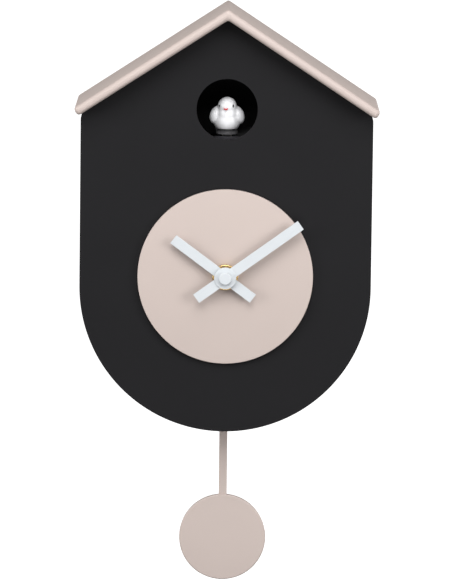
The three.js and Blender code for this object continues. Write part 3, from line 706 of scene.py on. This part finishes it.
GROOVES, GROOVE_FROM, GROOVE_TO, GROOVE_PITCH, GROOVE_DEPTH = 4, 0.5, 0.9, 0.8, 0.35  # on the slide
SLIDE_EDGE, BUTTON_EDGE = 0.1, 0.8


def middle(low, high):
    return [(a + b) / 2 for a, b in zip(low, high)]


def keyhole(z):
    """The wall screw's hole: a round entry below a narrower slot."""
    low, high = z - KEYHOLE_DROP, z + KEYHOLE_RISE
    return join(
        cylinder("y", KEYHOLE_R, -3 * PAST, PAST, (0, 0, low), 48),
        block(-KEYHOLE_HALF, KEYHOLE_HALF, -3 * PAST, PAST, low, high),
    )


def door_tub(wall, front, back):
    """A block around the battery door's opening, larger than it by the given wall."""
    return block(
        DOOR_LOW[0] - wall, DOOR_HIGH[0] + wall, front, back, DOOR_LOW[2] - wall, DOOR_HIGH[2] + wall
    )


def both_hanger_screws(radius, front, back, z, segments):
    """Two cylinders along Y, one at each of the hanger plate's screws."""
    places = (-HANGER_SCREW_X, HANGER_SCREW_X)
    return [cylinder("y", radius, front, back, (x, 0, z), segments) for x in places]


def grille_slots(x, z, front):
    """Round-ended slots in a circle, each a block with a cylinder at both ends."""
    tools = []
    end = GRILLE_SLOT / 2
    for row in range(-2, 3):
        reach = math.sqrt(GRILLE_R**2 - (row * GRILLE_PITCH) ** 2)
        slot_z = z + row * GRILLE_PITCH
        low, high = x - reach + end, x + reach - end
        tools.append(block(low, high, front, PAST, slot_z - end, slot_z + end))
        tools.append(cylinder("y", end, front, PAST, (low, 0, slot_z), 24))
        tools.append(cylinder("y", end, front, PAST, (high, 0, slot_z), 24))
    return tools


def make_cover():
    """The rear cover, with the battery tub, the hanger plate's seat and holes for the controls."""
    inner = -COVER
    through = inner - PAST
    hanger = middle(HANGER_LOW, HANGER_HIGH)
    half, high = HANGER_HIGH[0], HANGER_HIGH[2] - hanger[2]
    z = hanger[2]
    pad = half + PAD_MARGIN
    seat = half + CLEARANCE
    cover = join(
        prism(house(WALL + GAP), inner, 0),
        door_tub(TUB_WALL, TUB_FRONT, inner + LAP),
        block(-pad, pad, PAD_FRONT, inner + LAP, z - PAD_HALF, z + PAD_HALF),
        *both_hanger_screws(BOSS_R, BOSS_FRONT, BOSS_BACK, z, 32),
    )
    knob = middle(KNOB_LOW, KNOB_HIGH)
    slide = middle(SLIDE_LOW, SLIDE_HIGH)
    button = middle(BUTTON_LOW, BUTTON_HIGH)
    speaker = middle(SPEAKER_LOW, SPEAKER_HIGH)
    x0, x1 = DOOR_LOW[0], DOOR_HIGH[0]
    z0, z1 = DOOR_LOW[2], DOOR_HIGH[2]
    tools = [
        block(x0 - CLEARANCE, x1 + CLEARANCE, DOOR_SEAT, PAST, z0 - 2 * CLEARANCE, z1 + CLEARANCE),
        door_tub(-TUB_WALL, TUB_FLOOR, PAST),
        block(x0 + LATCH_INSET, x1 - LATCH_INSET, DOOR_SEAT, PAST, z1, z1 + LATCH_HIGH),
        cylinder("y", KNOB_HOLE_R, through, PAST, (knob[0], 0, knob[2]), 64),
        block(-seat, seat, HANGER_LOW[1] - GAP, PAST, z - high - CLEARANCE, z + high + CLEARANCE),
        block(-POCKET_HALF, POCKET_HALF, -POCKET_DEPTH, PAST, z - POCKET_DROP, z + POCKET_RISE),
        block(
            slide[0] - SLIDE_SLOT_HALF_X,
            slide[0] + SLIDE_SLOT_HALF_X,
            through,
            PAST,
            slide[2] - SLIDE_SLOT_HALF_Z,
            slide[2] + SLIDE_SLOT_HALF_Z,
        ),
        cylinder("y", BUTTON_HOLE_R, through, PAST, (button[0], 0, button[2]), 48),
        *both_hanger_screws(BOSS_BORE, BOSS_BORE_FRONT, PAST, z, 24),
        *grille_slots(speaker[0], speaker[2], through),
    ]
    for x, screw_z in COVER_SCREWS:
        tools.append(cylinder("y", SCREW_HOLE_R, through, PAST, (x, 0, screw_z), 24))
        tools.append(cylinder("y", SCREW_SINK_R, -SCREW_SINK, PAST, (x, 0, screw_z), 48))
    cover = piece("cover", cut(cover, *tools), "housing", "black_plastic", "rear_cover")
    soften_by_place(cover, COVER_EDGE, lambda p: 1 if p.y > -AT_FACE else 0, 2)


def make_door():
    """The battery door: a plate with finger grooves, hung on a barrel along its lower edge."""
    x0, x1 = DOOR_LOW[0], DOOR_HIGH[0]
    z0, z1 = DOOR_LOW[2] + DOOR_BARREL, DOOR_HIGH[2]
    centre = (x0 + x1) / 2
    plate = block(x0, x1, -DOOR_THICK, 0, z0, z1)
    barrel = cylinder("x", DOOR_BARREL, x0, x1, (0, -DOOR_BARREL, z0), 32)
    grooves = []
    for i in range(GRIPS):
        low, high = z1 - GRIP_FROM + GRIP_PITCH * i, z1 - GRIP_TO + GRIP_PITCH * i
        grooves.append(block(centre - GRIP_HALF, centre + GRIP_HALF, -GRIP_DEPTH, PAST, low, high))
    door = piece("door", cut(join(plate, barrel), *grooves), "door", "black_plastic", "battery_door")
    soften(door, DOOR_EDGE, 2, DOOR_EDGE_ANGLE)


def make_knob():
    """The time-setting knob, ridged round its edge and dished at the back."""
    x, _, z = middle(KNOB_LOW, KNOB_HIGH)
    radius = (KNOB_HIGH[0] - KNOB_LOW[0]) / 2
    front, back = KNOB_LOW[1], KNOB_HIGH[1]
    count = KNOB_RIDGES * 8
    outline = []
    for i in range(count):
        a = 2 * math.pi * i / count
        r = radius - RIDGE_INSET + RIDGE_DEPTH * math.cos(KNOB_RIDGES * a)
        outline.append((x + r * math.cos(a), z + r * math.sin(a)))
    at = (x, 0, z)
    grip = prism(outline, KNOB_GRIP_FRONT, back)
    stem = cylinder("y", KNOB_STEM_R, front, KNOB_GRIP_FRONT + KNOB_LAP, at, 48)
    knob = cut(
        join(grip, stem),
        cylinder("y", KNOB_BORE, KNOB_BORE_FRONT, KNOB_BORE_BACK, at, 32),
        cylinder("y", KNOB_DISH_R, back - KNOB_DISH, 0, at, 64),
    )
    piece("knob", knob, "motion_work", "grey_plastic", "time_set_knob")


def make_screw(name, node, head_r, head_high, shank_r):
    """A cross-recessed pan-head screw along Y, its head to the back."""
    low, high = box_mm(node)
    x, z = (low[0] + high[0]) / 2, (low[2] + high[2]) / 2
    end, face = low[1], high[1]
    shoulder = face - head_high
    tip = [(0, end), (shank_r * 0.4, end + 0.4), (shank_r, end + 1.5)]
    head = [(shank_r, shoulder), (head_r, shoulder), (head_r, face), (0, face)]
    solid = lathe(tip + rounded(head, head_high * 0.6, 5), (x, 0, z), "y", 48)
    arm, half, deep = head_r * 0.6, 0.35, 0.6
    solid = cut(
        solid,
        block(x - arm, x + arm, face - deep, face + PAST, z - half, z + half),
        block(x - half, x + half, face - deep, face + PAST, z - arm, z + arm),
    )
    piece(name, solid, "housing", "steel", node)


def make_hanger():
    """The steel plate that the clock hangs by, with its keyhole."""
    x0, front, z0 = HANGER_LOW
    x1, back, z1 = HANGER_HIGH
    z = (z0 + z1) / 2
    corners = [(x, h, PLATE_CORNER) for x, h in ((x0, z0), (x1, z0), (x1, z1), (x0, z1))]
    plate = cut(
        prism(rounded_outline(corners), front, back),
        *both_hanger_screws(PLATE_HOLE_R, -3 * PAST, PAST, z, 32),
        keyhole(z),
    )
    soften(piece("hanger", plate, "housing", "steel", "hanger_plate"), PLATE_EDGE, 2)


def make_controls():
    """The volume slide with its thumb grooves, and the domed test button."""
    x0, y0, z0 = SLIDE_LOW
    x1, y1, z1 = SLIDE_HIGH
    grooves = []
    for i in range(GROOVES):
        low, high = x0 + GROOVE_FROM + GROOVE_PITCH * i, x0 + GROOVE_TO + GROOVE_PITCH * i
        grooves.append(block(low, high, y1 - GROOVE_DEPTH, y1 + PAST, z0 - PAST, z1 + PAST))
    slide = cut(block(x0, x1, y0, y1, z0, z1), *grooves)
    soften(piece("slide", slide, "volume", "grey_plastic", "volume_knob"), SLIDE_EDGE, 2)
    x, _, z = middle(BUTTON_LOW, BUTTON_HIGH)
    r, y0, y1 = BUTTON_HIGH[0] - x, BUTTON_LOW[1], BUTTON_HIGH[1]
    profile = rounded([(0, y0), (r, y0), (r, y1), (0, y1)], BUTTON_EDGE, 6)
    piece("button", lathe(profile, (x, 0, z)), "button", "grey_plastic", "test_button")


# ---- hands ----
HAND_EDGE, HAND_THICK = 0.22, 0.9
HOUR_RING_R, HOUR_BORE, MINUTE_BORE, HUB_FACE = 5.6, 3.3, 1.8, 0.3
HUB_EDGE, CAP_EDGE, NUT_EDGE, NUT_BORE = 0.35, 0.9, 0.6, 4.9


def hand_bar(tip, tail, angle, y0, y1):
    w = HAND_WIDTH / 2
    return prism([(-w, -tail), (w, -tail), (w, tip), (-w, tip)], y0, y1, angle)


def make_hands():
    """The two hands, the cap at their centre and the round nut behind them."""
    front, back = HOUR_LOW[1], HOUR_HIGH[1]
    hour = cut(
        join(
            hand_bar(HOUR_TIP, HOUR_TAIL, HOUR_ANGLE, front, back),
            cylinder("y", HOUR_RING_R, front, back, (0, 0, 0)),
        ),
        cylinder("y", HOUR_BORE, front - PAST, back + PAST, (0, 0, 0)),
    )
    soften(piece("hour_pointer", hour, "hour_work", "white_hand", "hour_hand"), HAND_EDGE, 2)
    front, back = MINUTE_LOW[1], MINUTE_HIGH[1]
    hub = rounded([(0, front), (HUB_R, front), (HUB_R, back), (0, back)], HUB_EDGE)
    minute = cut(
        join(hand_bar(MINUTE_TIP, MINUTE_TAIL, MINUTE_ANGLE, back - HAND_THICK, back), lathe(hub)),
        cylinder("y", MINUTE_BORE, front + HUB_FACE, back + PAST, (0, 0, 0)),
    )
    soften(piece("minute_pointer", minute, "minute_work", "white_hand", "minute_hand"), HAND_EDGE, 2)
    r, y0, y1 = CAP_HIGH[0], CAP_LOW[1], CAP_HIGH[1]
    cap = rounded([(0, y0), (r, y0), (r, y1), (0, y1)], CAP_EDGE, 6)
    piece("centre_cap", lathe(cap), "minute_work", "white_hand", "hand_cap")
    r, y0, y1 = NUT_HIGH[0], NUT_LOW[1], NUT_HIGH[1]
    nut = rounded([(NUT_BORE, y0), (r, y0), (r, y1), (NUT_BORE, y1)], NUT_EDGE, 5)
    piece("round_nut", lathe(nut), "housing", "brass", "fixing_nut")


# ---- pendulum ----
ROD_EDGE, BOB_EDGE = 0.25, 1.1


def make_pendulum():
    """The flat rod, and the round bob with a groove in which the rod lies."""
    x0, y0, z0 = ROD_LOW
    x1, y1, z1 = ROD_HIGH
    bar = block(x0, x1, y0, y1, z0, z1)
    soften(piece("rod", bar, "pendulum", "greige_plastic", "pendulum_rod"), ROD_EDGE)
    front, back = BOB_LOW[1], BOB_HIGH[1]
    disc = rounded([(0, front), (BOB_R, front), (BOB_R, back), (0, back)], BOB_EDGE, 6)
    groove = block(x0 - GAP, x1 + GAP, y0 - GAP, y1 + GAP, z0 - GAP, BOB_Z + BOB_R + 3 * PAST)
    bob = cut(lathe(disc, (0, 0, BOB_Z), segments=192), groove)
    piece("bob", bob, "pendulum", "greige_plastic", "pendulum_bob")


# ---- bird ----
def ellipsoid(centre, radii, rotation=None, rings=24, segments=32):
    """A closed rounded lump, in millimetres, turned about its own centre."""
    verts, faces = [], []
    turn = rotation or Matrix.Identity(3)
    rows = []
    for i in range(rings + 1):
        polar = math.pi * i / rings
        if i in (0, rings):
            rows.append([len(verts)] * segments)
            verts.append((0, 0, math.cos(polar)))
            continue
        rows.append(list(range(len(verts), len(verts) + segments)))
        for j in range(segments):
            angle = 2 * math.pi * j / segments
            across = math.sin(polar)
            verts.append((across * math.cos(angle), across * math.sin(angle), math.cos(polar)))
    for a, b in zip(rows, rows[1:]):
        faces += bridge(a, b)
    placed = [turn @ Vector([c * r for c, r in zip(v, radii)]) + Vector(centre) for v in verts]
    return from_lists("lump", placed, faces)


def tilt(x=0.0, y=0.0, z=0.0):
    turns = [Matrix.Rotation(math.radians(a), 3, axis) for a, axis in ((x, "X"), (y, "Y"), (z, "Z"))]
    return turns[2] @ turns[1] @ turns[0]


def blended(lumps, voxel, smoothing):
    """One smooth skin over several lumps."""
    bm = bmesh.new()
    for lump in lumps:
        bm.from_mesh(lump)
    obj = bpy.data.objects.new("lumps", to_mesh("lumps", bm))
    scene.collection.objects.link(obj)
    remesh = obj.modifiers.new("skin", "REMESH")
    remesh.mode = "VOXEL"
    remesh.voxel_size = voxel * MM
    smooth = obj.modifiers.new("smooth", "SMOOTH")
    smooth.factor = 0.5
    smooth.iterations = smoothing
    graph = bpy.context.evaluated_depsgraph_get()
    mesh = bpy.data.meshes.new_from_object(obj.evaluated_get(graph))
    bpy.data.objects.remove(obj)
    return mesh


BIRD_VOXEL, BIRD_SMOOTHING = 0.42, 24
EYE_RADII, EYE_SINK = (0.78, 0.45, 1.05), 0.12
EYE_HIGH, BEAK_HIGH = 16.4, 14.2  # above the bird's foot
BEAK_HALF, BEAK_SECTIONS, BEAK_AROUND = 1.75, 17, 12
BEAK_WELD = 1e-6  # in metres: each tip's ring is merged into one point


def make_bird():
    """The bird's body: lumps under one skin, cut flat where it stands on the perch."""
    y = BIRD_Y
    foot = BIRD_FOOT
    lumps = [
        ellipsoid((0, y - 1.4, foot + 5.2), (9.5, 8.8, 8.8)),  # belly
        ellipsoid((0, y - 1.5, foot + 11.3), (8.8, 7.4, 6.0)),  # chest
        ellipsoid((0, y - 2.1, foot + 10), (7.8, 8.0, 9.0)),  # core
        ellipsoid((0, y - 3.8, foot + 15.9), (6.8, 6.2, 6.7)),  # head
        ellipsoid((0, y + 1.5, foot + 9), (8.6, 9.5, 8.5)),  # back
        ellipsoid((0, y + 11.5, foot + 6.4), (3.9, 6.0, 2.5), tilt(x=-12)),  # tail
    ]
    for side in (-1, 1):
        wing = tilt(x=-8, y=-side * 20, z=side * 4)
        lumps.append(ellipsoid((side * 7.6, y - 1.7, foot + 9.5), (4.6, 5.4, 6.7), wing))
    below = block(-30, 30, -90, 0, 80, PERCH_TOP + GAP)
    skin = cut(blended(lumps, BIRD_VOXEL, BIRD_SMOOTHING), below)
    return piece("bird", skin, "bird", "white_bird", "bird_body")


def on_skin(bird, x, z, inwards=0.0):
    """The point of the bird's front skin at a place seen from the front, and its direction outwards."""
    start = Vector((x * MM, (BIRD_Y - 40) * MM, z * MM))
    hit, where, normal, _ = bird.ray_cast(start, Vector((0, 1, 0)))
    if not hit:
        raise RuntimeError("no skin there")
    return where / MM - normal * inwards, normal


def make_face(bird):
    """Two eyes sunk a little into the skin, and a beak whose corners bend up and back."""
    for name, x in (("eye_right", -5.5), ("eye_left", 4.3)):
        where, normal = on_skin(bird, x, BIRD_FOOT + EYE_HIGH, EYE_SINK)
        turn = Vector((0, -1, 0)).rotation_difference(normal).to_matrix()
        eye = ellipsoid(tuple(where), EYE_RADII, turn, 12, 16)
        piece(name, eye, "bird", "white_bird", material=EYE)
    where, _ = on_skin(bird, -0.9, BIRD_FOOT + BEAK_HIGH)
    verts, faces, rows = [], [], []
    for i in range(BEAK_SECTIONS):
        t = 2 * i / (BEAK_SECTIONS - 1) - 1
        thick = math.sqrt(max(0.0, 1 - t * t))
        x = where[0] + BEAK_HALF * t
        y = where[1] + 0.35 * t * t + 0.25 - 1.15 * thick
        z = where[2] + 0.85 * t * t - 0.1 * thick
        centre = Vector((x, y, z))
        rows.append(list(range(len(verts), len(verts) + BEAK_AROUND)))
        for j in range(BEAK_AROUND):
            a = 2 * math.pi * j / BEAK_AROUND
            y, z = centre.y + 0.9 * thick * math.cos(a), centre.z + 0.6 * thick * math.sin(a)
            verts.append((centre.x, y, z))
    for a, b in zip(rows, rows[1:]):
        faces += bridge(a, b)
    piece("beak", from_lists("beak", verts, faces, BEAK_WELD), "bird", "white_bird", material=BEAK)


RACK_MODULE, RACK_TEETH, RACK_HALF = 0.8, 10, 4.0
PERCH_EDGE = 0.35


def make_perch():
    """The round perch on a bar, with the rack's tooth gaps cut into the bar from below."""
    bottom, top = PERCH_LOW[2], PERCH_HIGH[2]
    disc = rounded([(0, bottom), (PERCH_R, bottom), (PERCH_R, top), (0, top)], PERCH_EDGE)
    bar = block(-RACK_HALF, RACK_HALF, PERCH_Y, PERCH_HIGH[1], bottom, top)
    pitch = RACK_MODULE * math.pi
    mouth, narrow = 0.78 * pitch / 2, 0.4 * pitch / 2
    low, root = bottom - PAST, bottom + 1.9 * RACK_MODULE
    gaps = []
    for i in range(-1, RACK_TEETH):
        y = RACK_Y + i * pitch
        outline = [
            (y - mouth, low),
            (y + mouth, low),
            (y + mouth, bottom),
            (y + narrow, root),
            (y - narrow, root),
            (y - mouth, bottom),
        ]
        reach = RACK_HALF + PAST
        verts = [(x, *point) for x in (-reach, reach) for point in outline]
        faces = [list(range(6)), list(range(11, 5, -1))]
        faces += [[j, j + 6, (j + 1) % 6 + 6, (j + 1) % 6] for j in range(6)]
        gaps.append(from_lists("tooth", verts, faces))
    perch = cut(join(lathe(disc, (0, PERCH_Y, 0), "z", 96), bar), *gaps)
    piece("perch", perch, "bird", "grey_plastic", "bird_perch", material=PERCH_GREY)


make_case()
make_cover()
make_door()
make_knob()
for number in (1, 2, 3, 4):
    make_screw(f"case_screw_{number}", f"cover_screw_{number}", head_r=3.1, head_high=1.3, shank_r=1.3)
for number in (1, 2):
    make_screw(f"plate_screw_{number}", f"hanger_screw_{number}", head_r=2.6, head_high=0.9, shank_r=1.0)
make_hanger()
make_controls()
make_roof()
make_dial()
make_hands()
make_pendulum()
the_bird = make_bird()
bpy.context.view_layer.update()
make_face(the_bird)
make_perch()


# ---- studio ----
FLOOR_Z, FLOOR_HALF, FLOOR_GLOW = -0.62, 12.0, 1.05  # a height and half a width in metres, and a strength
WORLD_LIGHT = 0.2
SOFTBOX_DISTANCE = 1.6  # in metres, like the floor's sizes
LENS, SENSOR = 308.87, 36.0
CAMERA_AT = (0.70, -3570.0, 473.8)  # in millimetres
CAMERA_PITCH, CAMERA_ROLL = 7.89, 0.68


def make_studio():
    """A floor that glows and throws no light, and a world seen as white that lights only a little."""
    floor_mesh = bpy.data.meshes.new("floor")
    s = FLOOR_HALF
    corners = [(-s, -s, FLOOR_Z), (s, -s, FLOOR_Z), (s, s, FLOOR_Z), (-s, s, FLOOR_Z)]
    floor_mesh.from_pydata(corners, [], [(0, 1, 2, 3)])
    floor = bpy.data.objects.new("floor", floor_mesh)
    scene.collection.objects.link(floor)
    pale = Surface("floor_pale", (0.9, 0.9, 0.9), 0.7)
    pale.set(Emission_Color=(1, 1, 1, 1), Emission_Strength=FLOOR_GLOW)
    pale.drift(300, 0.01)
    floor_mesh.materials.append(pale.material)
    floor.visible_diffuse = False
    floor.visible_glossy = False

    world = bpy.data.worlds.new("studio")
    scene.world = world
    world.use_nodes = True
    tree = world.node_tree
    tree.nodes.clear()
    output = tree.nodes.new("ShaderNodeOutputWorld")
    seen = tree.nodes.new("ShaderNodeBackground")
    lit = tree.nodes.new("ShaderNodeBackground")
    seen.inputs["Color"].default_value = (1, 1, 1, 1)
    seen.inputs["Strength"].default_value = 1.0
    lit.inputs["Color"].default_value = (1, 1, 1, 1)
    lit.inputs["Strength"].default_value = WORLD_LIGHT
    path = tree.nodes.new("ShaderNodeLightPath")
    mix = tree.nodes.new("ShaderNodeMixShader")
    tree.links.new(path.outputs["Is Camera Ray"], mix.inputs["Fac"])
    tree.links.new(lit.outputs[0], mix.inputs[1])
    tree.links.new(seen.outputs[0], mix.inputs[2])
    tree.links.new(mix.outputs[0], output.inputs["Surface"])


def softbox(name, azimuth, elevation, wide, high, power):
    """An area light aimed at the clock; azimuth is to the right of straight ahead of it, in degrees."""
    a, e = math.radians(azimuth), math.radians(elevation)
    data = bpy.data.lights.new(name, "AREA")
    data.shape = "RECTANGLE"
    data.size, data.size_y = wide, high
    data.energy = power
    light = bpy.data.objects.new(name, data)
    direction = Vector((math.sin(a) * math.cos(e), -math.cos(a) * math.cos(e), math.sin(e)))
    light.location = direction * SOFTBOX_DISTANCE
    light.rotation_mode = "QUATERNION"
    light.rotation_quaternion = direction.to_track_quat("Z", "Y")
    scene.collection.objects.link(light)


def make_camera():
    """A long lens from in front and a little above, turned a little about its own axis."""
    pitch, roll = math.radians(CAMERA_PITCH), math.radians(CAMERA_ROLL)
    forward = Vector((0, math.cos(pitch), -math.sin(pitch)))
    up0 = Vector((0, math.sin(pitch), math.cos(pitch)))
    right0 = Vector((1, 0, 0))
    right = right0 * math.cos(roll) + up0 * math.sin(roll)
    up = up0 * math.cos(roll) - right0 * math.sin(roll)
    data = bpy.data.cameras.new("camera")
    data.lens = LENS
    data.sensor_width = SENSOR
    data.clip_start, data.clip_end = 0.1, 40.0
    camera = bpy.data.objects.new("camera", data)
    axes = Matrix((right, up, -forward)).transposed().to_4x4()
    axes.translation = Vector(CAMERA_AT) * MM
    camera.matrix_world = axes
    scene.collection.objects.link(camera)
    scene.camera = camera


make_studio()
softbox("softbox_key", 0, 42, 1.3, 1.1, 21)
softbox("softbox_right", 50, 10, 0.6, 0.8, 11.5)
softbox("softbox_left", -58, 10, 0.6, 0.8, 10.5)
softbox("softbox_top", 0, 76, 1.0, 0.7, 3.5)
softbox("softbox_rear_left", 140, -6, 1.0, 0.9, 13)
softbox("softbox_rear_right", -135, -10, 1.0, 0.9, 11)
softbox("softbox_low", 0, -18, 0.9, 0.5, 2.3)
make_camera()
scene.view_settings.view_transform = "Standard"
scene.view_settings.look = "None"
